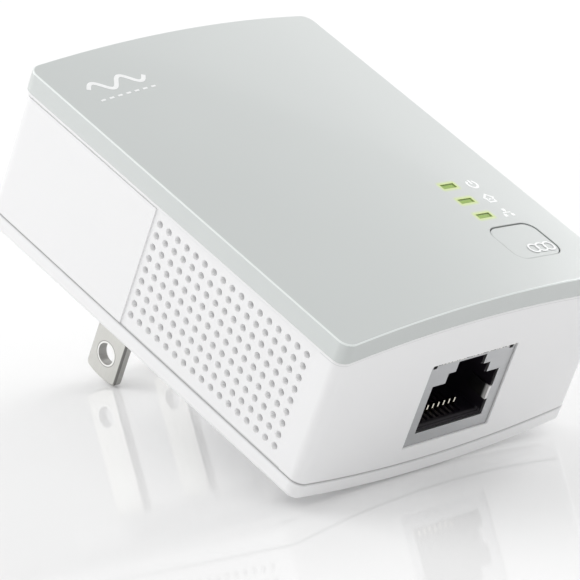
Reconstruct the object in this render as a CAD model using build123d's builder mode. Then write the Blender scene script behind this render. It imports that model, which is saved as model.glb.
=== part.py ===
from build123d import *

import os

# Plug-in powerline adapter with a two-blade mains plug and one network jack.
# Frame: origin midway between the blades, on the face that meets the wall plate.
# +Y into the wall, +Z up as plugged in, +X to the right seen from the room.

# Outer shell
width = 52.05
length = 65.3
far_z = 12.1
port_z = far_z - length
mid_z = far_z - length / 2
back_apex = -3.0
back_crown = 1.84
back_side = back_apex - back_crown
base_depth = 2.41
seam_y = back_side - base_depth
rim_y = -26.42
cover_depth = 2.9
crown = 1.7
crest_y = rim_y - cover_depth
corner = 1.7
step = 0.25
gap = 0.05
lip_depth = 0.5
lip_inset = 0.04
seam_round = 0.2
wall = 1.8
cover_wall = 1.7

# Vent grille on both long sides
vent_rows = 9
vent_columns = 17
vent_row_pitch = 1.81
vent_column_pitch = 1.84
vent_y = -16.75
vent_z = -32.5
vent_diameter = 1.06
panel_edge_z = -16.5
vent_end_z = -49.2
recess = 0.2

# Mains plug
blade_pitch = 12.7
blade_width = 6.35
blade_thickness = 1.5
blade_length = 18.2
blade_hole = 3.18
blade_hole_y = 14.1
boss_width = 27.0
boss_height = 15.0

# Network jack
jack_x = 1.05
jack_width = 16.1
jack_depth = 16.6
jack_front_z = port_z + 0.5
jack_back_y = -8.2
jack_front_y = -21.5
cavity_width = 12.6
cavity_back_y = -10.1
cavity_main_y = -17.7
cavity_step_y = -19.3
cavity_latch_y = -20.9
finger_y = -13.7
finger_width = 2.1

# Controls on the front
light_x = 13.6
light_z = -33.95
light_pitch = 3.56
light_width = 2.6
light_height = 0.98
button_x = 15.44
button_z = -43.82
button_width = 8.75
button_height = 7.08
button_radius = 1.8
button_gap = 0.13

# Boards and posts
board_thickness = 1.6
power_board_y = -8.75
comm_board_y = -21.6
post_x = 21.4
post_z = (7.9, -48.9)
post_diameter = 4.4
power_front = power_board_y - board_thickness
comm_front = comm_board_y - board_thickness

shell_half = width / 2 - step
shell_length = length - 2 * step
post_places = [(x, z) for x in (-post_x, post_x) for z in post_z]
case_screw_y = -5.75


def at_y(y):
    """Plane facing the room at height y: local x is X, local y is Z, extrusion goes to -Y."""
    return Plane.XZ.offset(-y)


def crowned_section(half, front_side, front_rise, back_edge, back_rise):
    """Cross-section of the case with an arched front and an arched back."""
    with BuildSketch() as section:
        with BuildLine():
            Line((-half, back_edge), (-half, front_side))
            ThreePointArc((-half, front_side), (0, front_side - front_rise), (half, front_side))
            Line((half, front_side), (half, back_edge))
            ThreePointArc((half, back_edge), (0, back_edge + back_rise), (-half, back_edge))
        make_face()
    return section.sketch


def rib_ring(outer_width, outer_length, thickness, radius):
    """Rounded rectangular ring centred on the middle of the case."""
    with BuildSketch() as ring:
        with Locations((0, mid_z)):
            RectangleRounded(outer_width, outer_length, radius)
            RectangleRounded(outer_width - 2 * thickness, outer_length - 2 * thickness,
                             radius / 2, mode=Mode.SUBTRACT)
    return ring.sketch


# Case

with BuildPart() as front_cover:
    with BuildSketch(Plane.XY.offset(port_z)):
        add(crowned_section(width / 2, crest_y, crown, rim_y, -crown))
    extrude(amount=length)
    fillet(front_cover.edges().filter_by(Axis.Y), radius=corner)
    fillet(front_cover.faces().sort_by(Axis.Y)[0].edges(), radius=0.25)
    inner_half = width / 2 - cover_wall
    with BuildSketch(Plane.XY.offset(port_z + cover_wall)):
        add(crowned_section(inner_half, crest_y + cover_wall, crown, rim_y + 1, -crown / 4))
    extrude(amount=length - 2 * cover_wall, mode=Mode.SUBTRACT)
    # Light windows and the button opening
    with BuildSketch(at_y(crest_y + 4)):
        with Locations((light_x, light_z)):
            with GridLocations(1, light_pitch, 1, 3):
                Rectangle(light_width, light_height)
        with Locations((button_x, button_z)):
            RectangleRounded(button_width + 2 * button_gap, button_height + 2 * button_gap,
                             button_radius + button_gap)
    extrude(amount=12, mode=Mode.SUBTRACT)
front_cover.part.label = "front_cover"

# Lip of the housing that meets the cover, with a rounded edge
with BuildPart() as housing_lip:
    with BuildSketch(Plane.XY.offset(port_z + lip_inset)):
        add(crowned_section(width / 2 - lip_inset, rim_y + gap, crown, rim_y + lip_depth, -crown))
    extrude(amount=length - 2 * lip_inset)
    fillet(housing_lip.edges().filter_by(Axis.Y), radius=corner)
    fillet(housing_lip.faces().sort_by(Axis.Y)[-1].edges(), radius=0.15)

with BuildPart() as main_housing:
    with BuildSketch(Plane.XY.offset(port_z + step)):
        add(crowned_section(shell_half, rim_y + 2 * gap, crown, seam_y - gap, back_crown))
    extrude(amount=shell_length)
    fillet(main_housing.edges().filter_by(Axis.Y), radius=corner)
    fillet(main_housing.faces().sort_by(Axis.Y)[-1].edges(), radius=seam_round)
    add(housing_lip.part)
    # Open middle
    with BuildSketch(at_y(0)):
        with Locations((0, mid_z)):
            RectangleRounded(2 * (shell_half - wall), shell_length - 2 * wall, 1.2)
    extrude(amount=40, mode=Mode.SUBTRACT)
    # Shallow recess around the grille, then the grille itself, on both sides
    recess_length = panel_edge_z - vent_end_z
    recess_front = rim_y + lip_depth
    recess_back = seam_y - gap
    recess_centre = ((recess_front + recess_back) / 2, panel_edge_z - recess_length / 2)
    with BuildSketch(Plane.YZ):
        with Locations(recess_centre):
            Rectangle(recess_back - recess_front, recess_length)
    extrude(amount=shell_half + 1, both=True, mode=Mode.SUBTRACT)
    with BuildSketch(Plane.YZ.offset(-shell_half + recess)) as grille_plate:
        with Locations(recess_centre):
            Rectangle(recess_back - recess_front, recess_length)
        with Locations((vent_y, vent_z)):
            with GridLocations(vent_row_pitch, vent_column_pitch, vent_rows, vent_columns):
                Circle(vent_diameter / 2, mode=Mode.SUBTRACT)
    extrude(amount=wall - recess)
    mirror(about=Plane.YZ)
    # Groove behind the lip beside the plain panel
    groove_length = far_z - 1.2 - panel_edge_z
    for side in (-1, 1):
        with BuildSketch(Plane.YZ.offset(side * shell_half)):
            with Locations((recess_front + 0.15, panel_edge_z + groove_length / 2)):
                Rectangle(0.3, groove_length)
        extrude(amount=-side * 0.2, mode=Mode.SUBTRACT)
    # Locating rib that stands inside the cover
    with BuildSketch(at_y(rim_y + 1.5)):
        add(rib_ring(2 * (width / 2 - cover_wall - 0.12), length - 2 * cover_wall - 0.24, 1.0, 1.2))
    extrude(amount=2.3)
    # Window for the jack
    with BuildSketch(Plane.XY.offset(port_z - 1)):
        with Locations((jack_x, (jack_back_y + jack_front_y) / 2)):
            Rectangle(jack_width + 0.14, jack_back_y - jack_front_y + 0.14)
    extrude(amount=4, mode=Mode.SUBTRACT)
    # Posts: case screws from the back, board screws from the front
    with BuildSketch(at_y(seam_y - 0.45)):
        with Locations(*post_places):
            Circle(post_diameter / 2)
    extrude(amount=seam_y - 0.45 - comm_board_y - gap)
    with BuildSketch(at_y(seam_y - 0.45)):
        for x, z in post_places:
            with Locations((x + (2.2 if x > 0 else -2.2), z)):
                Rectangle(2.0, 1.2)
    extrude(amount=12)
    with BuildSketch(at_y(0)):
        with Locations(*post_places):
            Circle(1.03)
    extrude(amount=30, mode=Mode.SUBTRACT)
main_housing.part.label = "main_housing"

with BuildPart() as base_plate:
    with BuildSketch(Plane.XY.offset(port_z + step)):
        add(crowned_section(shell_half, seam_y + gap, -back_crown, back_side, back_crown))
    extrude(amount=shell_length)
    fillet(base_plate.edges().filter_by(Axis.Y), radius=corner)
    chamfer(base_plate.faces().sort_by(Axis.Y)[-1].edges(), length=0.45)
    fillet(base_plate.faces().sort_by(Axis.Y)[0].edges(), radius=seam_round)
    # Raised pad that carries the blades and meets the wall plate
    with BuildSketch(at_y(0)):
        RectangleRounded(boss_width, boss_height, 3)
    extrude(amount=3.6)
    chamfer(base_plate.faces().sort_by(Axis.Y)[-1].outer_wire().edges(), length=0.5)
    # Rib inside the housing, broken at the posts
    with BuildSketch(at_y(seam_y + 1.9)):
        add(rib_ring(2 * (shell_half - wall - 0.12), shell_length - 2 * wall - 0.24, 0.9, 1.1))
        with Locations(*post_places):
            Rectangle(8, 5.2, mode=Mode.SUBTRACT)
        with Locations((jack_x, port_z + 2)):
            Rectangle(jack_width + 1, 6, mode=Mode.SUBTRACT)
    extrude(amount=3.1)
    with BuildSketch(at_y(1)):
        with Locations((-blade_pitch / 2, 0), (blade_pitch / 2, 0)):
            Rectangle(blade_thickness + 0.1, blade_width + 0.1)
    extrude(amount=12, mode=Mode.SUBTRACT)
    with BuildSketch(at_y(0)):
        with Locations(*post_places):
            Circle(1.15)
    extrude(amount=12, mode=Mode.SUBTRACT)
    with BuildSketch(at_y(0)):
        with Locations(*post_places):
            Circle(1.95)
    extrude(amount=-case_screw_y, mode=Mode.SUBTRACT)
base_plate.part.label = "base_plate"

with BuildPart() as rating_label:
    with BuildSketch(Plane.XY.offset(-44)):
        add(crowned_section(shell_half, back_side + 0.02, -back_crown, back_side + 0.14, back_crown))
    extrude(amount=30)
    with BuildSketch(at_y(5)):
        with Locations((0, -29)):
            RectangleRounded(32, 27, 1.5)
    extrude(amount=20, mode=Mode.INTERSECT)
rating_label.part.label = "rating_label"

with BuildPart() as case_screws:
    with Locations(*[(x, case_screw_y, z) for x, z in post_places]):
        with Locations(Rotation(90, 0, 0)):
            Cylinder(1.75, 1.2, align=(Align.CENTER, Align.CENTER, Align.MAX))
            Cylinder(1.0, 7.0, align=(Align.CENTER, Align.CENTER, Align.MIN))
            with Locations((0, 0, -1.2)):
                Box(2.0, 0.4, 1.0, mode=Mode.SUBTRACT)
                Box(0.4, 2.0, 1.0, mode=Mode.SUBTRACT)
case_screws.part.label = "case_screws"

# Mains plug

carrier_back = -5.9
carrier_front = power_board_y + gap


def blade(x):
    """Flat plug blade with a locking hole, a shoulder and a solder tail."""
    tip = blade_length
    half = blade_width / 2
    with BuildPart() as one:
        with BuildSketch(Plane.YZ.offset(x - blade_thickness / 2)):
            with BuildLine():
                Polyline((tip - 0.45, -half), (-7.8, -half), (-7.8, -1.4), (-11.2, -1.4),
                         (-11.2, 1.4), (-7.8, 1.4), (-7.8, half), (tip - 0.45, half))
                ThreePointArc((tip - 0.45, half), (tip, 0), (tip - 0.45, -half))
            make_face()
            with Locations((blade_hole_y, 0)):
                Circle(blade_hole / 2, mode=Mode.SUBTRACT)
        extrude(amount=blade_thickness)
        tip_corners = one.edges().filter_by(Axis.X).group_by(Axis.Y)[-1]
        fillet(tip_corners, radius=0.9)
        chamfer(one.faces().filter_by(GeomType.CYLINDER).sort_by(Axis.Y)[-1].edges()
                .filter_by(GeomType.CIRCLE), length=0.3)
    return one.part


with BuildPart() as blade_left:
    add(blade(-blade_pitch / 2))
blade_left.part.label = "blade_left"

with BuildPart() as blade_right:
    add(blade(blade_pitch / 2))
blade_right.part.label = "blade_right"

with BuildPart() as blade_carrier:
    with BuildSketch(at_y(carrier_back)):
        RectangleRounded(24, 12, 1.5)
    extrude(amount=carrier_back - carrier_front)
    with BuildSketch(at_y(0)):
        with Locations((-blade_pitch / 2, 0), (blade_pitch / 2, 0)):
            Rectangle(blade_thickness + 0.1, blade_width + 0.1)
    extrude(amount=20, mode=Mode.SUBTRACT)
blade_carrier.part.label = "blade_carrier"

# Power board

power_top = 9.6
power_bottom = -33.5

with BuildPart() as power_board:
    with BuildSketch(at_y(power_board_y)):
        with Locations((0, (power_top + power_bottom) / 2)):
            Rectangle(45, power_top - power_bottom)
        with Locations((-post_x, post_z[0]), (post_x, post_z[0])):
            Rectangle(8, 6.5, mode=Mode.SUBTRACT)
        with Locations((-blade_pitch / 2, 0), (blade_pitch / 2, 0)):
            Rectangle(1.7, 3.0, mode=Mode.SUBTRACT)
    extrude(amount=board_thickness)
power_board.part.label = "power_board"


def power_block(x, z, x_size, z_size, height, radius=0.3):
    """Rounded block soldered on the room side of the power board."""
    with BuildPart() as block:
        with BuildSketch(at_y(power_front - gap)):
            with Locations((x, z)):
                RectangleRounded(x_size, z_size, min(radius, x_size / 3, z_size / 3))
        extrude(amount=height)
        fillet(block.faces().sort_by(Axis.Y)[0].edges(), radius=radius / 2)
    return block.part


with BuildPart() as fuse:
    with Locations((-18.5, power_front - 2.3, -7.0)):
        Cylinder(2.0, 8.5)
        Cylinder(2.2, 1.4)
fuse.part.label = "fuse"

with BuildPart() as varistor:
    with Locations((-18.5, power_front - 3.9, 0.2)):
        Cylinder(3.8, 3.2)
    fillet(varistor.edges().filter_by(GeomType.CIRCLE), radius=0.8)
varistor.part.label = "varistor"

with BuildPart() as x_capacitor:
    add(power_block(-10.4, -9.6, 6.4, 11.5, 10.2, 0.6))
x_capacitor.part.label = "x_capacitor"

choke_y = power_front - 5.3
with BuildPart() as choke_core:
    with Locations((0, choke_y, -9.6)):
        Cylinder(4.7, 3.8)
        Cylinder(2.0, 3.8, mode=Mode.SUBTRACT)
choke_core.part.label = "choke_core"

with BuildPart() as choke_windings:
    with Locations((0, choke_y, -9.6)):
        Cylinder(5.2, 5.4)
        Cylinder(1.3, 5.4, mode=Mode.SUBTRACT)
        Cylinder(4.75, 3.9, mode=Mode.SUBTRACT)
        Box(2.4, 12, 6, mode=Mode.SUBTRACT)
        add(Cylinder(2.0, 3.9, mode=Mode.PRIVATE), mode=Mode.SUBTRACT)
choke_windings.part.label = "choke_windings"

with BuildPart() as bridge_rectifier:
    add(power_block(9.4, -6.6, 5.0, 4.4, 1.6))
    with BuildSketch(at_y(power_front - gap)):
        with Locations((9.4, -6.6)):
            with GridLocations(5.8, 2.5, 2, 2):
                Rectangle(1.0, 0.7)
    extrude(amount=0.5)
bridge_rectifier.part.label = "bridge_rectifier"

with BuildPart() as bulk_capacitors:
    with Locations((-17.2, power_front - 4.3, -22.4), (-8.6, power_front - 4.3, -23.5)):
        Cylinder(4.1, 13.4)
        with Locations((0, 0, 5.0)):
            Cylinder(4.3, 0.7, mode=Mode.SUBTRACT)
            Cylinder(3.85, 0.7)
bulk_capacitors.part.label = "bulk_capacitors"

core_x = 6.5
core_z = -25.0
core_y = power_front - 5.2
with BuildPart() as transformer_bobbin:
    with Locations((core_x, core_y, core_z)):
        with GridLocations(11.9, 1, 2, 1):
            Box(1.5, 9.6, 9.4)
        Box(11, 5.0, 5.0)
        Box(14, 3.9, 3.9, mode=Mode.SUBTRACT)
    with Locations((core_x, power_front - 0.6, core_z)):
        with GridLocations(11.9, 1, 2, 1):
            Box(1.5, 1.0, 12.0)
transformer_bobbin.part.label = "transformer_bobbin"

with BuildPart() as transformer_core:
    with Locations((core_x, core_y, core_z)):
        Box(17.4, 3.6, 13.4)
        Box(14.1, 3.8, 9.8, mode=Mode.SUBTRACT)
        Box(14.2, 3.4, 3.6)
transformer_core.part.label = "transformer_core"

with BuildPart() as transformer_winding:
    with Locations((core_x, core_y, core_z)):
        Box(10.2, 7.6, 7.6)
        Box(10.3, 5.2, 5.2, mode=Mode.SUBTRACT)
    fillet(transformer_winding.edges().filter_by(Axis.X).group_by(Axis.Y)[0], radius=0.8)
transformer_winding.part.label = "transformer_winding"

with BuildPart() as y_capacitor:
    with Locations((18.6, power_front - 3.9, -16.3)):
        with Locations(Rotation(0, 90, 0)):
            Cylinder(3.6, 2.6)
    fillet(y_capacitor.edges().filter_by(GeomType.CIRCLE), radius=0.7)
y_capacitor.part.label = "y_capacitor"

with BuildPart() as output_capacitor:
    with BuildSketch(at_y(power_front - gap)):
        with Locations((18.9, -29.6)):
            Circle(3.15)
    extrude(amount=8.6)
output_capacitor.part.label = "output_capacitor"

with BuildPart() as output_inductor:
    with BuildSketch(at_y(power_front - gap)):
        with Locations((18.9, -22.9)):
            Circle(2.9)
    extrude(amount=6.0)
    with BuildSketch(at_y(power_front - gap - 1.2)):
        with Locations((18.9, -22.9)):
            Circle(3.2)
            Circle(2.4, mode=Mode.SUBTRACT)
    extrude(amount=3.6, mode=Mode.SUBTRACT)
output_inductor.part.label = "output_inductor"

with BuildPart() as switching_chip:
    add(power_block(9.2, -13.4, 6.2, 5.0, 1.7))
    with BuildSketch(at_y(power_front - gap)):
        with Locations((9.2, -13.4)):
            with GridLocations(6.8, 1.27, 2, 4):
                Rectangle(1.0, 0.5)
    extrude(amount=0.4)
switching_chip.part.label = "switching_chip"

with BuildPart() as optocoupler:
    add(power_block(18.6, -9.1, 4.4, 6.2, 2.2))
optocoupler.part.label = "optocoupler"

with BuildPart() as output_diode:
    add(power_block(18.7, -3.4, 4.4, 3.6, 2.1))
output_diode.part.label = "output_diode"

with BuildPart() as coupling_transformer:
    add(power_block(0, 4.3, 9.4, 6.8, 5.2, 0.5))
coupling_transformer.part.label = "coupling_transformer"

with BuildPart() as coupling_capacitor:
    add(power_block(12.4, 3.4, 4.6, 8.4, 7.6, 0.5))
coupling_capacitor.part.label = "coupling_capacitor"

header_x = -5.2
header_z = -31.6
with BuildPart() as link_header:
    with BuildSketch(at_y(power_front - gap)):
        with Locations((header_x, header_z)):
            Rectangle(7.6, 2.3)
    extrude(amount=2.4)
    with BuildSketch(at_y(power_front - gap)):
        with Locations((header_x, header_z)):
            with GridLocations(2.0, 1, 3, 1):
                Rectangle(0.6, 0.6)
    extrude(amount=9.8)
link_header.part.label = "link_header"

with BuildPart() as link_socket:
    with BuildSketch(at_y(comm_board_y + gap)):
        with Locations((header_x, header_z)):
            Rectangle(7.6, 2.3)
            with GridLocations(2.0, 1, 3, 1):
                Rectangle(0.7, 0.7, mode=Mode.SUBTRACT)
    extrude(amount=-4.2)
link_socket.part.label = "link_socket"

# Communication board

comm_top = 9.6
comm_bottom = port_z + 0.5 + 1.9

with BuildPart() as comm_board:
    with BuildSketch(at_y(comm_board_y)):
        with Locations((0, (comm_top + comm_bottom) / 2)):
            Rectangle(45.4, comm_top - comm_bottom)
        with Locations(*post_places):
            Circle(1.15, mode=Mode.SUBTRACT)
    extrude(amount=board_thickness)
comm_board.part.label = "comm_board"

with BuildPart() as board_screws:
    with Locations(*[(x, comm_front - 0.05, z) for x, z in post_places]):
        with Locations(Rotation(90, 0, 0)):
            Cylinder(1.7, 1.1, align=(Align.CENTER, Align.CENTER, Align.MIN))
            Cylinder(1.0, 5.4, align=(Align.CENTER, Align.CENTER, Align.MAX))
            with Locations((0, 0, 1.1)):
                Box(2.0, 0.4, 1.0, mode=Mode.SUBTRACT)
                Box(0.4, 2.0, 1.0, mode=Mode.SUBTRACT)
board_screws.part.label = "board_screws"


def chip(x, z, x_size, z_size, height):
    """Flat chip package on the room side of the communication board."""
    with BuildPart() as package:
        with BuildSketch(at_y(comm_front - gap)):
            with Locations((x, z)):
                Rectangle(x_size, z_size)
        extrude(amount=height)
        chamfer(package.faces().sort_by(Axis.Y)[0].edges(), length=0.15)
    return package.part


with BuildPart() as main_chip:
    add(chip(-3.0, -20.0, 12, 12, 0.95))
main_chip.part.label = "main_chip"

with BuildPart() as thermal_pad:
    with BuildSketch(at_y(comm_front - 1.05)):
        with Locations((-3.0, -20.0)):
            Rectangle(11, 11)
    extrude(amount=0.5)
thermal_pad.part.label = "thermal_pad"

with BuildPart() as heat_spreader:
    with BuildSketch(at_y(comm_front - 1.6)):
        with Locations((-3.0, -14.0)):
            RectangleRounded(24, 34, 1.5)
    extrude(amount=0.8)
heat_spreader.part.label = "heat_spreader"

with BuildPart() as memory_chip:
    add(chip(-14.5, -37.5, 8, 11, 0.95))
memory_chip.part.label = "memory_chip"

with BuildPart() as flash_chip:
    add(chip(-3.5, -37.0, 5.2, 5.2, 1.5))
flash_chip.part.label = "flash_chip"

with BuildPart() as ethernet_chip:
    add(chip(4.5, -38.4, 6, 6, 0.9))
ethernet_chip.part.label = "ethernet_chip"

with BuildPart() as crystal:
    add(chip(13.6, -21.0, 3.2, 5.0, 1.1))
crystal.part.label = "crystal"

with BuildPart() as lan_magnetics:
    with BuildSketch(at_y(comm_board_y + gap)):
        with Locations((-13.6, -42.6)):
            Rectangle(9.4, 12.6)
    extrude(amount=-5.6)
    fillet(lan_magnetics.faces().sort_by(Axis.Y)[-1].edges(), radius=0.4)
lan_magnetics.part.label = "lan_magnetics"

with BuildPart() as indicator_leds:
    with BuildSketch(at_y(comm_front - gap)):
        with Locations((light_x, light_z)):
            with GridLocations(1, light_pitch, 1, 3):
                Rectangle(1.6, 0.8)
    extrude(amount=0.7)
indicator_leds.part.label = "indicator_leds"

# Three light pipes on one strip, ending flush with the cover
pipe_base = comm_front - 1.1
with BuildPart() as light_guide:
    with BuildSketch(Plane.XY.offset(light_z - 6)):
        add(crowned_section(width / 2 - 0.5, crest_y + 0.03, crown - 0.07, -18.0, -crown))
    extrude(amount=12)
    with BuildSketch(at_y(pipe_base)):
        with Locations((light_x, light_z)):
            with GridLocations(1, light_pitch, 1, 3):
                Rectangle(light_width - 0.1, light_height - 0.1)
    extrude(amount=10, mode=Mode.INTERSECT)
    with BuildSketch(at_y(pipe_base - 1.2)):
        with Locations((light_x, light_z)):
            Rectangle(light_width + 1.4, 2 * light_pitch + light_height + 1.4)
    extrude(amount=1.2)
light_guide.part.label = "light_guide"

# Pair button and its switch

switch_front = comm_front - 2.5
plunger_front = comm_front - 3.35

with BuildPart() as pair_button:
    with BuildSketch(Plane.XY.offset(button_z - 5)):
        add(crowned_section(width / 2 - 0.5, crest_y + 0.03, crown - 0.07, -26.0, -crown))
    extrude(amount=10)
    with BuildSketch(at_y(plunger_front - 1.35)):
        with Locations((button_x, button_z)):
            RectangleRounded(button_width, button_height, button_radius)
    extrude(amount=8, mode=Mode.INTERSECT)
    front_rim = pair_button.faces().sort_by(Axis.Y)[0].edges()
    chamfer(front_rim, length=0.06)
    # Flange behind the cover and the stem over the switch
    with BuildSketch(at_y(plunger_front - 0.95)):
        with Locations((button_x, button_z)):
            RectangleRounded(button_width + 1.1, button_height + 1.1, button_radius)
    extrude(amount=0.45)
    with BuildSketch(at_y(plunger_front - 0.03)):
        with Locations((button_x, button_z)):
            Circle(1.4)
    extrude(amount=2.5)
pair_button.part.label = "pair_button"

with BuildPart() as switch_body:
    with BuildSketch(at_y(comm_front - gap)):
        with Locations((button_x, button_z)):
            Rectangle(6.0, 6.0)
            Circle(1.85, mode=Mode.SUBTRACT)
    extrude(amount=2.2)
    with BuildSketch(at_y(comm_front - gap)):
        with Locations((button_x, button_z)):
            Rectangle(5.8, 5.8)
    extrude(amount=0.6)
switch_body.part.label = "switch_body"

with BuildPart() as switch_plate:
    with BuildSketch(at_y(comm_front - 2.3)):
        with Locations((button_x, button_z)):
            Rectangle(6.0, 6.0)
            Circle(1.85, mode=Mode.SUBTRACT)
    extrude(amount=0.2)
switch_plate.part.label = "switch_plate"

with BuildPart() as switch_plunger:
    with BuildSketch(at_y(comm_front - 1.4)):
        with Locations((button_x, button_z)):
            Circle(1.7)
    extrude(amount=1.95)
    chamfer(switch_plunger.faces().sort_by(Axis.Y)[0].edges(), length=0.2)
switch_plunger.part.label = "switch_plunger"

with BuildPart() as switch_dome:
    with BuildSketch(at_y(comm_front - 0.7)):
        with Locations((button_x, button_z)):
            Circle(1.6)
    extrude(amount=0.15)
switch_dome.part.label = "switch_dome"

# Network jack

shield = 0.25
jack_mid_y = (jack_back_y + jack_front_y) / 2
jack_height = jack_back_y - jack_front_y


def latch_profile(extra=0.0):
    """Plug opening with the two latch steps."""
    steps = ((cavity_width, cavity_main_y), (7.9, cavity_step_y), (5.3, cavity_latch_y))
    with BuildSketch() as profile:
        for opening_width, y in steps:
            with Locations((jack_x, (cavity_back_y + y) / 2)):
                Rectangle(opening_width + extra, cavity_back_y - y + extra)
    return profile.sketch


with BuildPart() as jack_shield:
    with BuildSketch(Plane.XY.offset(jack_front_z)):
        with Locations((jack_x, jack_mid_y)):
            Rectangle(jack_width, jack_height)
    extrude(amount=jack_depth)
    with BuildSketch(Plane.XY.offset(jack_front_z + shield)):
        with Locations((jack_x, jack_mid_y)):
            Rectangle(jack_width - 2 * shield, jack_height - 2 * shield)
    extrude(amount=jack_depth - 2 * shield, mode=Mode.SUBTRACT)
    with BuildSketch(Plane.XY.offset(jack_front_z)):
        add(latch_profile())
        for side in (-1, 1):
            with Locations((jack_x + side * (jack_width / 2 - 0.85), jack_front_y + 0.45)):
                Rectangle(0.7, 0.5)
    extrude(amount=shield, mode=Mode.SUBTRACT)
    # Ground spring folded in from the side of the opening
    with BuildSketch(Plane.XY.offset(jack_front_z)):
        with Locations((jack_x + cavity_width / 2 - 0.2, finger_y)):
            Rectangle(0.7, finger_width)
    extrude(amount=shield)
    with BuildSketch(Plane.XY.offset(jack_front_z)):
        with Locations((jack_x + cavity_width / 2 - 0.43, finger_y)):
            Rectangle(0.24, finger_width)
    extrude(amount=3.2)
jack_shield.part.label = "jack_shield"

with BuildPart() as jack_insert:
    with BuildSketch(Plane.XY.offset(jack_front_z + shield + 0.04)):
        with Locations((jack_x, jack_mid_y)):
            Rectangle(jack_width - 2 * shield - 0.1, jack_height - 2 * shield - 0.1)
    extrude(amount=jack_depth - 2 * shield - 0.08)
    with BuildSketch(Plane.XY.offset(jack_front_z)):
        add(latch_profile(-0.3))
    extrude(amount=13.0, mode=Mode.SUBTRACT)
    # Slots that the contact springs lie in
    with BuildSketch(Plane.XY.offset(jack_front_z + 1.6)):
        with Locations((jack_x, cavity_back_y + 0.45)):
            with GridLocations(1.02, 1, 8, 1):
                Rectangle(0.56, 1.3)
    extrude(amount=11.4, mode=Mode.SUBTRACT)
jack_insert.part.label = "jack_insert"

with BuildPart() as jack_contacts:
    for index in range(8):
        contact_x = jack_x + (index - 3.5) * 1.02
        with BuildSketch(Plane.YZ.offset(contact_x - 0.2)):
            with BuildLine():
                Polyline((cavity_back_y - 1.3, jack_front_z + 2.9),
                         (cavity_back_y + 0.9, jack_front_z + 2.9),
                         (cavity_back_y + 0.9, jack_front_z + 12.6),
                         (cavity_back_y + 0.5, jack_front_z + 12.6),
                         (cavity_back_y - 3.4, jack_front_z + 8.6),
                         (cavity_back_y - 3.0, jack_front_z + 8.3),
                         (cavity_back_y + 0.55, jack_front_z + 11.9),
                         (cavity_back_y + 0.55, jack_front_z + 3.25),
                         (cavity_back_y - 1.3, jack_front_z + 3.25), close=True)
            make_face()
        extrude(amount=0.4)
jack_contacts.part.label = "jack_contacts"

with BuildPart() as insulating_sheet:
    with BuildSketch(at_y(comm_board_y + 0.75)):
        with Locations((0, -9.8)):
            Rectangle(38, 37)
    extrude(amount=0.3)
insulating_sheet.part.label = "insulating_sheet"

# Export

pieces = [
    front_cover, main_housing, base_plate, rating_label, case_screws,
    blade_left, blade_right, blade_carrier,
    power_board, fuse, varistor, x_capacitor, choke_core, choke_windings, bridge_rectifier,
    bulk_capacitors, transformer_bobbin, transformer_core, transformer_winding, y_capacitor,
    output_capacitor, output_inductor, switching_chip, optocoupler, output_diode,
    coupling_transformer, coupling_capacitor, link_header, link_socket,
    comm_board, board_screws, main_chip, thermal_pad, heat_spreader, memory_chip, flash_chip,
    ethernet_chip, crystal, lan_magnetics, indicator_leds, light_guide, insulating_sheet,
    pair_button, switch_body, switch_plate, switch_plunger, switch_dome,
    jack_shield, jack_insert, jack_contacts,
]

os.makedirs("parts", exist_ok=True)
for piece in pieces:
    export_step(piece.part, f"parts/{piece.part.label}.step")
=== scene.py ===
import bpy
import bmesh
from math import sin, cos, pi, radians, sqrt, atan2
from mathutils import Vector, Matrix


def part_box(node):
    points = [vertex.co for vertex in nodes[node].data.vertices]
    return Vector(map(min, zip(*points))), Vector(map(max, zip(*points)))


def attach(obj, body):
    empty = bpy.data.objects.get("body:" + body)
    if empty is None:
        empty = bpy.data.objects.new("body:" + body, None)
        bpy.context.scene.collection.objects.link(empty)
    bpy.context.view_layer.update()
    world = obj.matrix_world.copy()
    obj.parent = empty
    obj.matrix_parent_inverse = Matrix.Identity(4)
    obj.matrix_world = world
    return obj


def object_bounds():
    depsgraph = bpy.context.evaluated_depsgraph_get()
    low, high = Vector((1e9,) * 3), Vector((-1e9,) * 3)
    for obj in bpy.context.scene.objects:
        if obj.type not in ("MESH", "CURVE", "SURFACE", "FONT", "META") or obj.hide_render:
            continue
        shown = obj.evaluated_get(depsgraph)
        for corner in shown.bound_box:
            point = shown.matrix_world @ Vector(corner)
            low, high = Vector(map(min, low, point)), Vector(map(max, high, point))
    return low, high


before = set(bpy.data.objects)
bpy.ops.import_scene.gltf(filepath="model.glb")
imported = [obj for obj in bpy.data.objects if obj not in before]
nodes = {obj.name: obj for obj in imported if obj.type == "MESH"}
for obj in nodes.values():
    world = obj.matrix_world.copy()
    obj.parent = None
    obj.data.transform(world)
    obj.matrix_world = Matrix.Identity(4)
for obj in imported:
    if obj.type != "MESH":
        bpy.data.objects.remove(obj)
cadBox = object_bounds()
mm = 0.001
black = (0.0, 0.0, 0.0)


def boxOf(node):
    low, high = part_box(node)
    return low / mm, high / mm   # in millimetres


def middleOf(node):
    low, high = boxOf(node)
    return (low + high) / 2


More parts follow.
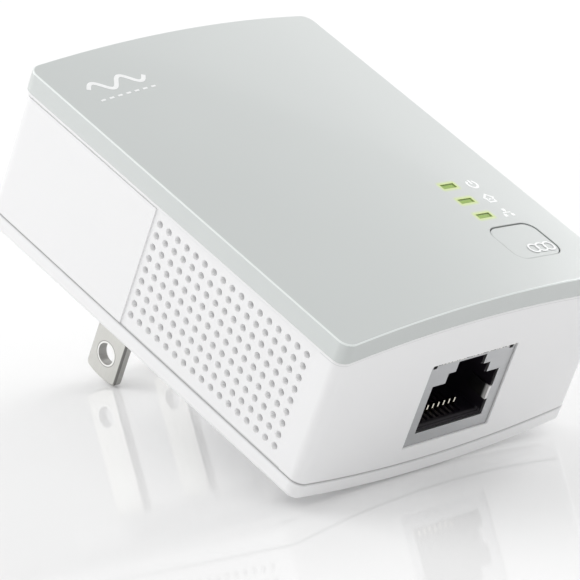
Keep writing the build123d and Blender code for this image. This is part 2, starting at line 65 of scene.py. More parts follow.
class Wire:
    # a socket that can be used in Python sums
    def __init__(self, finish, socket):
        self.finish = finish
        self.socket = socket

    def sum(self, operation, *values):
        return self.finish.node("ShaderNodeMath", {"operation": operation}, dict(enumerate(values)))

    def __add__(self, other): return self.sum("ADD", self, other)
    def __radd__(self, other): return self.sum("ADD", other, self)
    def __sub__(self, other): return self.sum("SUBTRACT", self, other)
    def __rsub__(self, other): return self.sum("SUBTRACT", other, self)
    def __mul__(self, other): return self.sum("MULTIPLY", self, other)
    def __rmul__(self, other): return self.sum("MULTIPLY", other, self)
    def __truediv__(self, other): return self.sum("DIVIDE", self, other)
    def __rtruediv__(self, other): return self.sum("DIVIDE", other, self)
    def __abs__(self): return self.sum("ABSOLUTE", self)
    def __lt__(self, other): return self.sum("LESS_THAN", self, other)
    def __gt__(self, other): return self.sum("GREATER_THAN", self, other)
    def root(self): return self.sum("SQRT", self)
    def most(self, other): return self.sum("MAXIMUM", self, other)
    def fraction(self): return self.sum("FRACT", self)

    def ramp(self, low, high):
        # 0 at low, 1 at high, smooth between
        return self.finish.node("ShaderNodeMapRange", {"interpolation_type": "SMOOTHSTEP"},
                                {"Value": self, "From Min": low, "From Max": high})


class Finish:
    # one material, with its Principled shader ready to be set
    def __init__(self, name, color, roughness=0.4, metallic=0.0, coat=0.0, coatRoughness=0.05, specular=0.5):
        self.material = bpy.data.materials.new(name)
        self.material.use_nodes = True
        self.material.diffuse_color = (*color, 1.0)
        self.material.cycles.emission_sampling = "NONE"   # faint glows only, not lamps
        self.tree = self.material.node_tree
        self.shader = self.tree.nodes["Principled BSDF"]
        self.set("Base Color", color)
        self.set("Roughness", roughness)
        self.set("Metallic", metallic)
        self.set("Coat Weight", coat)
        self.set("Coat Roughness", coatRoughness)
        self.set("Specular IOR Level", specular)

    def feed(self, target, value):
        if isinstance(value, Wire):
            self.tree.links.new(value.socket, target)
        elif isinstance(value, tuple) and target.type == "RGBA":
            target.default_value = (*value, 1.0)
        else:
            target.default_value = value

    def set(self, socket, value):
        self.feed(self.shader.inputs[socket], value)

    def node(self, kind, settings=None, sockets=None, output=0):
        made = self.tree.nodes.new(kind)
        for name, value in (settings or {}).items():
            setattr(made, name, value)
        for name, value in (sockets or {}).items():
            self.feed(made.inputs[name], value)
        if isinstance(output, tuple):
            return [Wire(self, made.outputs[name]) for name in output]
        return Wire(self, made.outputs[output])

    def place(self):
        # object coordinates in millimetres, as a vector and as x, y, z
        raw = self.node("ShaderNodeTexCoord", output="Object")
        scaled = self.node("ShaderNodeVectorMath", {"operation": "SCALE"}, {0: raw, "Scale": 1 / mm})
        return scaled, self.node("ShaderNodeSeparateXYZ", sockets={0: scaled}, output=(0, 1, 2))

    def facing(self):
        # how far the surface faces each axis
        normal = self.node("ShaderNodeNewGeometry", output="Normal")
        return self.node("ShaderNodeSeparateXYZ", sockets={0: normal}, output=(0, 1, 2))

    def noise(self, vector, scale, detail=2.0, roughness=0.5):
        return self.node("ShaderNodeTexNoise", sockets={
            "Vector": vector, "Scale": scale, "Detail": detail, "Roughness": roughness})

    def stretched(self, vector, stretch):
        return self.node("ShaderNodeVectorMath", {"operation": "MULTIPLY"}, {0: vector, 1: Vector(stretch)})

    def mix(self, factor, first, second):
        return self.node("ShaderNodeMix", {"data_type": "RGBA"}, {0: factor, 6: first, 7: second}, output=2)

    def bump(self, height, distance, strength):
        self.set("Normal", self.node("ShaderNodeBump", sockets={
            "Strength": strength, "Distance": distance, "Height": height}))


def shade(color, factor):
    return tuple(min(1.0, part * factor) for part in color)


def paint(finish, *names):
    for name in names:
        mesh = nodes[name].data
        mesh.materials.clear()
        mesh.materials.append(finish.material)


print("cover and button finish")
coverGloss = {
    "color": (0.565, 0.592, 0.583), "cloud": 0.015, "coat": 0.6, "coatRoughness": 0.09,
    "roughness": 0.31, "unevenGloss": 0.03, "orangePeel": 0.00002, "peelStrength": 0.05,
    "paintedSideLight": 1.10, "sideTurn": (0.55, 0.9),
    "crestHighlight": 1.5, "crestSide": (0.18, 0.4), "crestFront": (0.93, 0.975),
    "frontLevel": -28.0,   # nearer the room than this is the arched front
    "halo": (0.60, 0.74, 0.20), "haloWidth": 0.8, "haloStrength": 0.85,
    "windowHalf": (1.3, 0.49), "windowPitch": 3.56,
    "gapShade": (0.26, 0.27, 0.27), "gapCentre": 0.09, "gapFade": (0.09, 0.2), "gapStrength": 0.5,
    "buttonRadius": 1.8, "buttonFlange": 0.55,
}
lampMiddle = middleOf("indicator_leds")
buttonLow, buttonHigh = boxOf("pair_button")


def cornerDistance(x, z, middle, halfX, halfZ):
    # distance outside an upright rectangle on the front, round its corners
    across = (abs(x - middle[0]) - halfX).most(0.0)
    along = (abs(z - middle[1]) - halfZ).most(0.0)
    return (across * across + along * along).root()


def makeCoverGloss(v):
    finish = Finish("coverGloss", v["color"], v["roughness"], 0.0, v["coat"], v["coatRoughness"])
    vector, (x, y, z) = finish.place()
    towardX, towardY, _ = finish.facing()
    cloud = finish.noise(vector, 0.05, 1.0)
    base = finish.mix(cloud, shade(v["color"], 1 - v["cloud"]), shade(v["color"], 1 + v["cloud"]))
    # painted light: the sides of the cover made lighter than the front
    base = finish.mix(abs(towardX).ramp(*v["sideTurn"]), base, shade(v["color"], v["paintedSideLight"]))
    # painted highlight along the edge between the front and the sides
    frontward = 0.0 - towardY
    crest = frontward.ramp(*v["crestSide"]) * (1.0 - frontward.ramp(*v["crestFront"]))
    base = finish.mix(crest, base, shade(v["color"], v["crestHighlight"]))
    # pale glow in the plastic round each window
    front = y < v["frontLevel"]
    halfX, halfZ = v["windowHalf"]
    glow = None
    for step in (-1, 0, 1):
        window = (lampMiddle.x, lampMiddle.z + step * v["windowPitch"])
        near = 1.0 - cornerDistance(x, z, window, halfX, halfZ).ramp(0.0, v["haloWidth"])
        glow = near if glow is None else glow.most(near)
    base = finish.mix(glow * front * v["haloStrength"], base, v["halo"])
    # painted shade: a dark line in the gap round the button
    middle = (buttonLow + buttonHigh) / 2
    half = (buttonHigh - buttonLow) / 2 - Vector((1, 1, 1)) * (v["buttonFlange"] + v["buttonRadius"])
    outside = cornerDistance(x, z, (middle.x, middle.z), half.x, half.z)
    fromGap = abs(outside - v["buttonRadius"] - v["gapCentre"])
    line = (1.0 - fromGap.ramp(*v["gapFade"])) * front * v["gapStrength"]
    finish.set("Base Color", finish.mix(line, base, v["gapShade"]))
    gloss = finish.noise(vector, 2.5, 3.0)
    finish.set("Roughness", v["roughness"] - v["unevenGloss"] / 2 + gloss * v["unevenGloss"])
    finish.bump(finish.noise(vector, 0.35, 1.0), v["orangePeel"], v["peelStrength"])
    return finish


coverFinish = makeCoverGloss(coverGloss)

print("case finish")
caseSatin = {
    "color": (0.90, 0.90, 0.905), "cloud": 0.015, "roughness": 0.42, "unevenGloss": 0.14,
    "grain": 0.000012, "grainStrength": 0.35,
    "lines": ((-7.25, 1.84, 0.2, 0.22), (-25.9, -1.7, 0.14, 0.20)),   # level, arch, half width, darkness
    "recess": 0.2, "ventY": (-25.0, -8.6), "ventZ": (-49.0, -16.6), "ventDepth": 1.62, "ventDeep": 1.0,
    "ventGlow": 0.09, "ventDeepGlow": 0.03, "soakedLight": (1.0, 0.995, 0.99),
}
plateLow, plateHigh = boxOf("base_plate")
ventFace = plateHigh.x - caseSatin["recess"]   # outer face of the grille


def archRadius(rise, half):
    # radius of an arch that rises so much over so much half width
    return (half ** 2 + rise ** 2) / (2 * abs(rise))


def makeCaseSatin(v):
    finish = Finish("caseSatin", v["color"], v["roughness"])
    vector, (x, y, z) = finish.place()
    grain = finish.noise(vector, 9.0, 3.0, 0.6)
    cloud = finish.noise(vector, 0.08, 1.0)
    base = finish.mix(cloud, shade(v["color"], 1 - v["cloud"]), v["color"])
    # shadow lines in the seam and behind the lip, both arched across the width
    for level, rise, half, darkness in v["lines"]:
        radius = archRadius(rise, plateHigh.x)
        arch = (radius ** 2 - x * x).most(0.0).root() - sqrt(radius ** 2 - plateHigh.x ** 2)
        away = abs(y - (level + arch * (1 if rise > 0 else -1)))
        line = (1.0 - away.ramp(half * 0.5, half * 1.6)) * darkness
        base = finish.mix(line, base, black)
    finish.set("Base Color", base)
    # light that soaks through the white plastic and shows on the walls of the vents
    depth = ventFace - abs(x)
    wall = depth.ramp(0.0, 0.06) * (depth < v["ventDepth"])
    for part, (low, high) in ((y, v["ventY"]), (z, v["ventZ"])):
        wall = wall * (part > low) * (part < high)
    soak = wall * (v["ventGlow"] * (1.0 - depth.ramp(0.0, v["ventDeep"])) + v["ventDeepGlow"])
    finish.set("Emission Color", finish.mix(soak, black, v["soakedLight"]))
    finish.set("Emission Strength", 1.0)
    finish.set("Roughness", v["roughness"] - 0.06 + grain * v["unevenGloss"])
    finish.bump(grain, v["grain"], v["grainStrength"])
    return finish


caseFinish = makeCaseSatin(caseSatin)

print("blade and shield finishes")
bladeNickel = {
    "color": (0.56, 0.558, 0.532), "streak": (0.88, 1.1), "roughness": 0.40, "unevenGloss": 0.16,
    "edge": (0.42, 0.415, 0.40), "sideShadeTurn": (0.35, 0.7),
    "holeY": 14.1, "holeRadius": 1.59, "ring": (0.78, 0.78, 0.76), "ringFade": (0.20, 0.28),
    "ringOutline": 1.4, "ringOutlineFade": (0.30, 0.42),
    "borderShade": (0.20, 0.198, 0.19), "halfWidth": 3.175, "outlineInset": (0.36, 0.20),
}
drawnBump = {"depth": 0.000006, "strength": 0.5}   # fine lines of drawn or rolled metal


def makeBladeNickel(v):
    finish = Finish("bladeNickel", v["color"], v["roughness"], 1.0)
    vector, (_, y, z) = finish.place()
    towardX = finish.facing()[0]
    streak = finish.noise(finish.stretched(vector, (9.0, 0.5, 9.0)), 1.0, 3.0, 0.6)
    face = finish.mix(streak, *(shade(v["color"], factor) for factor in v["streak"]))
    # painted highlight and shade: a pale ring at the rim of the hole with a dark ring round it, and a dark
    # border along the long edges of the face
    fromAxis = y - v["holeY"]
    fromHole = (fromAxis * fromAxis + z * z).root() - v["holeRadius"]
    face = finish.mix(1.0 - fromHole.ramp(*v["ringOutlineFade"]), face, shade(v["borderShade"], v["ringOutline"]))
    face = finish.mix(1.0 - fromHole.ramp(*v["ringFade"]), face, v["ring"])
    outer, inner = (v["halfWidth"] - inset for inset in v["outlineInset"])
    face = finish.mix(abs(z).ramp(outer, inner), face, v["borderShade"])
    # painted shade: the narrow sides of the blade darker than its broad faces
    finish.set("Base Color", finish.mix(1.0 - abs(towardX).ramp(*v["sideShadeTurn"]), face, v["edge"]))
    finish.set("Roughness", v["roughness"] - 0.07 + streak * v["unevenGloss"])
    finish.bump(streak, drawnBump["depth"], drawnBump["strength"])
    return finish


shieldNickel = {
    "color": (0.52, 0.525, 0.535), "streak": (0.9, 1.06), "roughness": 0.34, "unevenGloss": 0.14,
    "foldEdge": (0.24, 0.34), "speckleBright": (0.98, 0.96, 0.91), "speckleDark": (0.10, 0.10, 0.10), "speckleSplit": (0.44, 0.56),
    "finger": (0.80, 0.79, 0.78), "fingerX": (6.6, 7.25), "fingerY": (-15.0, -12.4),
    "fingerReach": (0.3, 0.8), "fingerInnerShade": (0.01, 0.01, 0.01), "fingerDull": 0.8,
}
shieldLow, shieldHigh = boxOf("jack_shield")


def makeShieldNickel(v):
    finish = Finish("shieldNickel", v["color"], v["roughness"], 1.0)
    vector, (x, y, z) = finish.place()
    streak = finish.noise(finish.stretched(vector, (0.35, 9.0, 9.0)), 1.0, 3.0, 0.6)
    face = finish.mix(streak, *(shade(v["color"], factor) for factor in v["streak"]))
    # bright and dark speckles along the folded front edge
    speckle = finish.noise(vector, 2.6, 3.0, 0.7)
    foldEdge = 1.0 - (y - shieldLow.y).ramp(*v["foldEdge"])
    face = finish.mix(foldEdge, face, finish.mix(speckle.ramp(*v["speckleSplit"]), v["speckleDark"], v["speckleBright"]))
    # the folded side finger: a painted highlight at the mouth, painted shade deeper inside
    finger = (x > v["fingerX"][0]) * (x < v["fingerX"][1]) * (y > v["fingerY"][0]) * (y < v["fingerY"][1])
    inside = (z - shieldLow.z).ramp(*v["fingerReach"])
    fingerColor = finish.mix(inside, v["finger"], v["fingerInnerShade"])
    finish.set("Base Color", finish.mix(finger, face, fingerColor))
    finish.set("Metallic", 1.0 - finger * v["fingerDull"])
    finish.set("Roughness", v["roughness"] - 0.06 + streak * v["unevenGloss"])
    finish.bump(streak, drawnBump["depth"], drawnBump["strength"])
    return finish


bladeFinish = makeBladeNickel(bladeNickel)
shieldFinish = makeShieldNickel(shieldNickel)


def mouldedFinish(name, v):
    # moulded or pressed: mottled colour, uneven gloss and a fine grain
    color, roughness = v["color"], v["roughness"]
    mottle, grainScale = v.get("mottle", 0.12), v.get("grainScale", 6.0)
    finish = Finish(name, color, roughness, 0.0, v.get("coat", 0.0))
    vector = finish.place()[0]
    grain = finish.noise(vector, grainScale, 3.0, 0.6)
    cloud = finish.noise(vector, grainScale / 8, 2.0)
    finish.set("Base Color", finish.mix(cloud, shade(color, 1 - mottle), shade(color, 1 + mottle)))
    finish.set("Roughness", roughness * 0.85 + grain * (roughness * 0.3))
    finish.bump(grain, v.get("grainDepth", 0.00001), 0.4)
    return finish


def drawnFinish(name, v):
    # drawn or rolled metal: long fine streaks along one axis
    color, roughness = v["color"], v["roughness"]
    finish = Finish(name, color, roughness, 1.0)
    stretch = [9.0, 9.0, 9.0]
    stretch[v["along"]] = 0.35
    lines = finish.noise(finish.stretched(finish.place()[0], stretch), 1.0, 3.0, 0.6)
    finish.set("Base Color", finish.mix(lines, shade(color, 0.75), color))
    finish.set("Roughness", roughness * 0.8 + lines * (roughness * 0.5))
    finish.bump(lines, drawnBump["depth"], drawnBump["strength"])
    return finish


print("jack, board and window finishes")
jackBlack = {
    "color": (0.010, 0.008, 0.012), "roughness": 0.34, "grainDepth": 0.000006,
    "strip": (0.075, 0.072, 0.078), "stripY": -10.7, "stripFrom": (0.3, 0.45), "stripTo": (1.05, 1.35),
    "groove": 0.72, "grooveHalf": 0.07,
}


def makeJackBlack(v):
    finish = mouldedFinish("jackBlack", v)
    _, (_, y, z) = finish.place()
    # painted highlight: a paler strip along the chamfer at the mouth of the jack, with a groove in it
    depth = z - shieldLow.z
    strip = (y > v["stripY"]) * depth.ramp(*v["stripFrom"]) * (1.0 - depth.ramp(*v["stripTo"]))
    strip = strip * (1.0 - (abs(depth - v["groove"]) < v["grooveHalf"]))
    finish.set("Base Color", finish.mix(strip, v["color"], v["strip"]))
    return finish


contactGold = {
    "color": (1.0, 0.82, 0.46), "roughness": 0.2, "unevenGloss": (0.18, 0.1),
    "slotShade": (0.10, 0.07, 0.03), "shadeStreak": 1.8, "pitch": 1.02,
    "tip": (1.0, 0.95, 0.82), "tipY": -10.7, "tipDepth": 2.95, "tipHalf": 0.12,
    "tipGlow": 0.35, "tipDull": 0.7,
}


def makeContactGold(v):
    # gold springs: a painted glint where they bend, painted shade darkening them deeper in their slots
    finish = Finish("contactGold", v["color"], v["roughness"], 1.0)
    vector, (x, y, z) = finish.place()
    streak = finish.noise(finish.stretched(vector, (9.0, 9.0, 0.5)), 1.0, 2.0)
    # distance from the middle of the nearest of the eight springs
    row = (x - (shieldLow.x + shieldHigh.x) / 2) / v["pitch"] + 8.0
    strand = abs(row.fraction() - 0.5) * v["pitch"]
    # painted glint at the bend of each spring, with a faint glow; painted shade on the rest of the springs
    tip = (y < v["tipY"]) * (z < shieldLow.z + v["tipDepth"]) * (strand < v["tipHalf"])
    spring = finish.mix(streak, v["slotShade"], shade(v["slotShade"], v["shadeStreak"]))
    finish.set("Base Color", finish.mix(tip, spring, v["tip"]))
    finish.set("Metallic", 1.0 - tip * v["tipDull"])
    finish.set("Emission Color", finish.mix(tip * v["tipGlow"], black, v["tip"]))
    finish.set("Emission Strength", 1.0)
    lowest, spread = v["unevenGloss"]
    finish.set("Roughness", lowest + streak * spread)
    return finish


boardGreen = {
    "dark": (0.018, 0.14, 0.05), "roughness": 0.35, "coat": 0.4, "cell": 0.22,
    "track": (0.05, 0.27, 0.11), "pitch": 0.62, "trackHalf": 0.18, "trackRise": 0.00003,
}


def makeBoardGreen(v):
    finish = Finish("boardGreen", v["dark"], v["roughness"], 0.0, v["coat"])
    vector, (x, _, z) = finish.place()
    # tracks run one way or the other from cell to cell
    cell = finish.node("ShaderNodeTexVoronoi", {"distance": "CHEBYCHEV"},
                       {"Vector": vector, "Scale": v["cell"]}, "Color")
    pick = finish.node("ShaderNodeSeparateColor", sockets={0: cell}) > 0.5
    across, along = (abs((part / v["pitch"]).fraction() - 0.5) < v["trackHalf"] for part in (x, z))
    track = across * pick + along * (1.0 - pick)
    finish.set("Base Color", finish.mix(track, v["dark"], v["track"]))
    finish.bump(track, v["trackRise"], 0.4)
    return finish


windowGreen = {
    "color": (0.22, 0.37, 0.012), "cloud": 0.15, "roughness": 0.3, "coat": 0.25, "glow": 0.05,
    "rimShade": (0.07, 0.13, 0.005), "rimX": (0.36, 0.08), "rimZ": (0.3, 0.06),
}


def makeWindowGreen(v):
    finish = Finish("windowGreen", v["color"], v["roughness"], 0.0, v["coat"])
    vector, (x, _, z) = finish.place()
    pitch = coverGloss["windowPitch"]
    halfX, halfZ = coverGloss["windowHalf"]
    # distance along the length from the middle of the nearest window
    fromMiddle = abs(((z - lampMiddle.z) / pitch + 100.5).fraction() - 0.5) * pitch
    rimZ = fromMiddle.ramp(*(halfZ - inset for inset in v["rimZ"]))
    rimX = abs(x - lampMiddle.x).ramp(*(halfX - inset for inset in v["rimX"]))
    cloud = finish.noise(vector, 0.8, 1.0)
    heart = finish.mix(cloud, shade(v["color"], 1 - v["cloud"]), shade(v["color"], 1 + v["cloud"]))
    # painted shade: darker towards the edges of each window
    color = finish.mix(rimZ.most(rimX), heart, v["rimShade"])
    finish.set("Base Color", color)
    finish.set("Emission Color", color)
    finish.set("Emission Strength", v["glow"])
    return finish


paint(coverFinish, "front_cover", "pair_button")
paint(caseFinish, "main_housing", "base_plate")
paint(bladeFinish, "blade_left", "blade_right")
paint(shieldFinish, "jack_shield")
paint(makeJackBlack(jackBlack), "jack_insert")
paint(makeContactGold(contactGold), "jack_contacts")
paint(makeBoardGreen(boardGreen), "power_board", "comm_board")
paint(makeWindowGreen(windowGreen), "light_guide")

print("finishes of the inner parts")
drawnMetals = {
    "screwZinc": {
        "color": (0.62, 0.62, 0.63), "roughness": 0.36, "along": 1, "on": ("case_screws", "board_screws")},
    "bareAluminium": {
        "color": (0.82, 0.82, 0.83), "roughness": 0.35, "along": 2,
        "on": ("heat_spreader", "crystal", "switch_plate", "switch_dome")},
    "enamelledCopper": {
        "color": (0.72, 0.34, 0.16), "roughness": 0.28, "along": 1, "on": ("choke_windings",)},
}
for name, values in drawnMetals.items():
    paint(drawnFinish(name, values), *values["on"])

mouldedParts = {
    "mouldedBlack": {
        "color": (0.018, 0.018, 0.02), "roughness": 0.45,
        "on": ("blade_carrier", "fuse", "bridge_rectifier", "transformer_bobbin", "switching_chip",
               "optocoupler", "output_diode", "link_header", "link_socket", "main_chip", "memory_chip",
               "flash_chip", "ethernet_chip", "lan_magnetics", "switch_body", "switch_plunger")},
    "capacitorGrey": {
        "color": (0.33, 0.34, 0.35), "roughness": 0.5, "on": ("x_capacitor", "coupling_capacitor")},
    "dippedBlue": {
        "color": (0.04, 0.13, 0.42), "roughness": 0.3, "coat": 0.5, "grainScale": 2.0, "grainDepth": 0.00004,
        "on": ("varistor", "y_capacitor")},
    "tapeYellow": {
        "color": (0.75, 0.55, 0.06), "roughness": 0.35, "on": ("transformer_winding", "coupling_transformer")},
    "ferrite": {
        "color": (0.06, 0.06, 0.062), "roughness": 0.6, "grainScale": 8.0, "grainDepth": 0.00003,
        "on": ("choke_core", "transformer_core", "output_inductor")},
    "capacitorSleeve": {
        "color": (0.02, 0.025, 0.05), "roughness": 0.22, "coat": 0.3,
        "on": ("bulk_capacitors", "output_capacitor")},
    "gapPad": {"color": (0.42, 0.52, 0.66), "roughness": 0.8, "on": ("thermal_pad",)},
    "insulatingFilm": {"color": (0.05, 0.05, 0.052), "roughness": 0.35, "on": ("insulating_sheet",)},
    "labelFilm": {"color": (0.66, 0.67, 0.685), "roughness": 0.38, "mottle": 0.03, "on": ("rating_label",)},
    "indicatorLamp": {"color": (0.80, 0.88, 0.55), "roughness": 0.3, "on": ("indicator_leds",)},
}
for name, values in mouldedParts.items():
    paint(mouldedFinish(name, values), *values["on"])

print("printed marks")
coverLow, coverHigh = boxOf("front_cover")
labelHigh = boxOf("rating_label")[1]
ink = {"lift": 0.014, "root": 0.02, "frontArch": 1.7, "backArch": 1.84}


def frontFace(x):
    # level of the arched front at x
    radius = archRadius(ink["frontArch"], coverHigh.x)
    return coverLow.y + radius - sqrt(radius ** 2 - x ** 2)


def backFace(x):
    # level of the arched label at x
    radius = archRadius(ink["backArch"], plateHigh.x)
    return labelHigh.y - radius + sqrt(radius ** 2 - x ** 2)


def inkLine(mesh, path, width, closed, surface, outward, sink):
    # a thin raised line that follows the surface, its root just inside the plastic
    count = len(path)
    rails = []
    for index, (x, z) in enumerate(path):
        before = path[index - 1] if closed or index > 0 else path[index]
        after = path[(index + 1) % count] if closed or index < count - 1 else path[index]
        ahead = Vector((after[0] - before[0], after[1] - before[1])).normalized()
        rail = []
        for side, height in ((1, ink["lift"]), (-1, ink["lift"]), (-1, -ink["root"]), (1, -ink["root"])):
            atX = x - ahead.y * side * width / 2
            atZ = z + ahead.x * side * width / 2
            level = surface(atX) + outward * (height - sink)
            rail.append(mesh.verts.new(Vector((atX, level, atZ)) * mm))
        rails.append(rail)
    for index in range(count if closed else count - 1):
        first, second = rails[index], rails[(index + 1) % count]
        for edge in range(4):
            turn = (edge + 1) % 4
            mesh.faces.new((first[edge], first[turn], second[turn], second[edge]))
    if not closed:
        mesh.faces.new(rails[0])
        mesh.faces.new(rails[-1][::-1])


def arc(x, z, radius, start, end, steps=20):
    # points on a circle, angles in degrees from up, clockwise
    turns = [radians(start + (end - start) * step / steps) for step in range(steps + 1)]
    return [(x + radius * sin(turn), z + radius * cos(turn)) for turn in turns]


def ring(x, z, radius, steps=24):
    return arc(x, z, radius, 0, 360, steps)[:-1]


def markPiece(name, lines, body, finish, surface=frontFace, outward=-1, sink=0.0):
    mesh = bmesh.new()
    for path, width, closed in lines:
        inkLine(mesh, path, width, closed, surface, outward, sink)
    bmesh.ops.recalc_face_normals(mesh, faces=mesh.faces)
    data = bpy.data.meshes.new(name)
    mesh.to_mesh(data)
    mesh.free()
    data.materials.append(finish.material)
    piece = bpy.data.objects.new(name, data)
    bpy.context.scene.collection.objects.link(piece)
    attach(piece, body)


inks = {
    "whiteInk": {"color": (0.93, 0.94, 0.94), "roughness": 0.4},
    "greyInk": {"color": (0.22, 0.225, 0.235), "roughness": 0.45},
}


def inkFinish(name, v):
    # screen-printed ink: thin patches and a slight mesh grain
    finish = Finish(name, v["color"], v["roughness"])
    vector = finish.place()[0]
    patch = finish.noise(vector, 3.0, 3.0, 0.6)
    finish.set("Base Color", finish.mix(patch.ramp(0.3, 0.7), shade(v["color"], 0.93), v["color"]))
    finish.set("Roughness", v["roughness"] - 0.05 + patch * 0.1)
    finish.bump(finish.noise(vector, 14.0, 1.0), 0.000004, 0.3)
    return finish


whiteInk, greyInk = (inkFinish(name, values) for name, values in inks.items())
icons = {
    "x": 18.05, "stroke": 0.38, "thin": 0.2,
    "power": {"z": -30.75, "radius": 0.82, "opening": 32, "stem": (0.05, 1.02)},
    "house": {
        "z": -34.2, "eaves": (1.0, 0.05), "ridge": 0.95, "wall": (0.62, 0.1), "ground": 0.78,
        "wave": 0.3, "waveTurn": 80, "waveDrop": 0.42},
    "network": {"z": -37.6, "reach": 0.72, "drop": 0.35, "box": (0.6, 0.55), "boxDrop": 0.62},
}


def iconPiece(name, lines):
    markPiece(name, lines, "case", whiteInk)


def makeIcons(v):
    x, stroke, thin = v["x"], v["stroke"], v["thin"]
    power = v["power"]
    iconPiece("power_icon", [
        (arc(x, power["z"], power["radius"], power["opening"], 360 - power["opening"]), stroke, False),
        ([(x, power["z"] + height) for height in power["stem"]], stroke, False)])
    house = v["house"]
    z, ground = house["z"], house["z"] - house["ground"]
    eaves, eavesUp = house["eaves"]
    wall, wallUp = house["wall"]
    roof = [(x - eaves, z + eavesUp), (x, z + house["ridge"]), (x + eaves, z + eavesUp)]
    walls = [(x - wall, z + wallUp), (x - wall, ground), (x + wall, ground), (x + wall, z + wallUp)]
    wave = arc(x, z - house["waveDrop"], house["wave"], -house["waveTurn"], house["waveTurn"], 10)
    iconPiece("house_icon", [(roof, stroke, False), (walls, stroke, False), (wave, thin, False)])
    network = v["network"]
    z, reach, drop = network["z"], network["reach"], network["drop"]
    lines = [([(x, z + drop), (x, z)], thin, False),
             ([(x - reach, z - drop), (x - reach, z), (x + reach, z), (x + reach, z - drop)], thin, False)]
    wide, high = network["box"]
    for side, up in ((0, 1), (-1, -1), (1, -1)):
        atX, atZ = x + side * reach, z + up * network["boxDrop"]
        lines.append(([(atX - wide / 2, atZ), (atX + wide / 2, atZ)], high, False))
    iconPiece("network_icon", lines)


makeIcons(icons)

pairMark = {"x": 16.9, "z": -45.6, "radius": 0.86, "apart": 1.5, "stroke": 0.28, "sink": 0.03}


def makePairMark(v):
    # three linked rings
    middles = [v["x"] + place * v["apart"] for place in (-1, 0, 1)]
    lines = [(ring(x, v["z"], v["radius"]), v["stroke"], True) for x in middles]
    markPiece("pair_mark", lines, "button", whiteInk, sink=v["sink"])


makePairMark(pairMark)

waveMark = {
    "x": -21.6, "z": 4.5, "length": 9.4, "height": 1.05, "waves": 2, "stroke": 0.62, "steps": 48,
    "dashes": 7, "dashLength": 0.75, "dashWidth": 0.34, "dashDrop": 2.7,
}


def makeWaveMark(v):
    # plain decoration: a mains wave with a row of dashes below it
    wave = []
    for step in range(v["steps"] + 1):
        part = step / v["steps"]
        wave.append((v["x"] + v["length"] * part, v["z"] + v["height"] * sin(2 * pi * v["waves"] * part)))
    lines = [(wave, v["stroke"], False)]
    for index in range(v["dashes"]):
        start = v["x"] + index * v["length"] / (v["dashes"] - 0.45)
        level = v["z"] - v["dashDrop"]
        lines.append(([(start, level), (start + v["dashLength"], level)], v["dashWidth"], False))
    iconPiece("wave_mark", lines)


makeWaveMark(waveMark)

labelPrint = {
    "middle": (0.0, -29.0), "frame": (29.0, 24.0), "frameStroke": 0.3,
    "inset": 2.2, "firstBar": 3.4, "barPitch": 3.3,
    "bars": ((22, 1.2), (17, 0.6), (24, 0.6), (13, 0.6), (20, 0.6), (9, 1.6)),   # length, thickness
    "steps": 12,   # enough points to follow the arched back
}


def makeLabelPrint(v):
    # a frame and plain bars in place of small print
    x, z = v["middle"]
    halfX, halfZ = v["frame"][0] / 2, v["frame"][1] / 2

    def level(start, length, height):
        return [(start + length * step / v["steps"], height) for step in range(v["steps"] + 1)]

    top = level(x - halfX, 2 * halfX, z + halfZ)
    bottom = level(x + halfX, -2 * halfX, z - halfZ)
    lines = [(top + bottom, v["frameStroke"], True)]
    for index, (length, thick) in enumerate(v["bars"]):
        height = z + halfZ - v["firstBar"] - index * v["barPitch"]
        lines.append((level(x + halfX - v["inset"], -length, height), thick, False))
    markPiece("label_print", lines, "case", greyInk, surface=backFace, outward=1)


makeLabelPrint(labelPrint)

print("floor, lights and camera")
tipLow, tipHigh = boxOf("blade_left")
rest = {"backTouch": -3.05, "tipRound": 0.9}   # where the arched back and the rounded blade tips touch
restTilt = atan2(tipHigh.y - rest["backTouch"], tipLow.z + rest["tipRound"] - plateLow.z)
floorUp = Vector((0, -cos(restTilt), sin(restTilt)))
floorAlong = Vector((0, sin(restTilt), cos(restTilt)))
floorTouch = Vector((0, rest["backTouch"], plateLow.z)) * mm


def onFloor(side, along, up=0.0):
    # a point by its distance sideways, along the floor and above it, in metres
    return floorTouch + Vector((1, 0, 0)) * side + floorAlong * along + floorUp * up


floorWhite = {"half": 3.0, "color": (0.90, 0.90, 0.90), "roughness": 0.06}


def makeFloor(v):
    turns = ((-1, -1), (1, -1), (1, 1), (-1, 1))
    corners = [onFloor(side * v["half"], along * v["half"]) for side, along in turns]
    data = bpy.data.meshes.new("floor")
    data.from_pydata(corners, [], [(0, 1, 2, 3)])
    data.update()
    if data.polygons[0].normal.dot(floorUp) < 0:
        data.flip_normals()
    floor = bpy.data.objects.new("floor", data)
    bpy.context.scene.collection.objects.link(floor)
    finish = Finish("floorWhite", v["color"], v["roughness"])
    # seen from below it lets the light and the view through
    behind = finish.node("ShaderNodeNewGeometry", output="Backfacing")
    clear = finish.node("ShaderNodeBsdfTransparent")
    solid = Wire(finish, finish.shader.outputs[0])
    blend = finish.node("ShaderNodeMixShader", sockets={0: behind, 1: solid, 2: clear})
    finish.feed(finish.tree.nodes["Material Output"].inputs[0], blend)
    data.materials.append(finish.material)


makeFloor(floorWhite)

studioAir = {"color": (1.0, 1.0, 1.0, 1.0), "strength": 0.81}
world = bpy.data.worlds.new("studio")
bpy.context.scene.world = world
world.use_nodes = True
background = world.node_tree.nodes["Background"]
background.inputs["Color"].default_value = studioAir["color"]
background.inputs["Strength"].default_value = studioAir["strength"]
bpy.context.scene.view_settings.view_transform = "Standard"

objectMiddle = (cadBox[0] + cadBox[1]) / 2


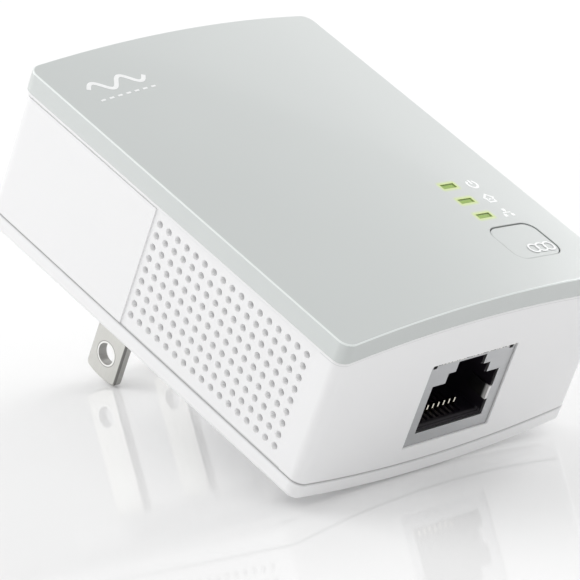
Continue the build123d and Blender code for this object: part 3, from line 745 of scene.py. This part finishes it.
def softbox(name, place, power, size):
    data = bpy.data.lights.new(name, "AREA")
    data.shape = "RECTANGLE"
    data.size, data.size_y = size
    data.energy = power
    lamp = bpy.data.objects.new(name, data)
    bpy.context.scene.collection.objects.link(lamp)
    lamp.location = place
    lamp.rotation_euler = (objectMiddle - place).to_track_quat("-Z", "Y").to_euler()
    return lamp


softboxes = {
    "backLeftBox": {"place": (-0.5, 0.7, 0.5), "power": 4.3, "size": (1.0, 0.8)},
    "rightBox": {"place": (0.8, 0.05, 0.3), "power": 3.98, "size": (0.6, 0.5)},
}
for name, values in softboxes.items():
    softbox(name, onFloor(*values["place"]), values["power"], values["size"])

# the card mirrored in the glossy front, turned so that its edge crosses the cover on the slant
sheenCard = {
    "place": (0.634, -0.3725, 0.5575), "toward": (0.751, -0.369, 0.548), "edge": (-0.631, -0.646, 0.431),
    "power": 0.12, "size": (0.50, 0.20),
}


def makeSheenCard(v):
    lamp = softbox("sheenBox", Vector(v["place"]), v["power"], v["size"])
    backward = Vector(v["toward"]).normalized()
    edge = Vector(v["edge"])
    edgeward = (edge - backward * backward.dot(edge)).normalized()
    lamp.rotation_euler = Matrix((edgeward, backward.cross(edgeward), backward)).transposed().to_euler()


makeSheenCard(sheenCard)

cameraValues = {
    "place": (-341.4, -271.8, -286.2), "aim": (9.8, -2.8, -13.9),
    "up": (0.0, -0.9148, 0.4040), "lens": 232.3, "sensor": 36.0, "clipStart": 0.01,
}


def makeCamera(v):
    data = bpy.data.cameras.new("camera")
    data.lens = v["lens"]
    data.sensor_width = v["sensor"]
    data.clip_start = v["clipStart"]
    camera = bpy.data.objects.new("camera", data)
    bpy.context.scene.collection.objects.link(camera)
    ahead = (Vector(v["aim"]) - Vector(v["place"])).normalized()
    right = ahead.cross(Vector(v["up"])).normalized()
    turn = Matrix((right, right.cross(ahead), -ahead)).transposed().to_4x4()
    camera.matrix_world = Matrix.Translation(Vector(v["place"]) * mm) @ turn
    bpy.context.scene.camera = camera


makeCamera(cameraValues)
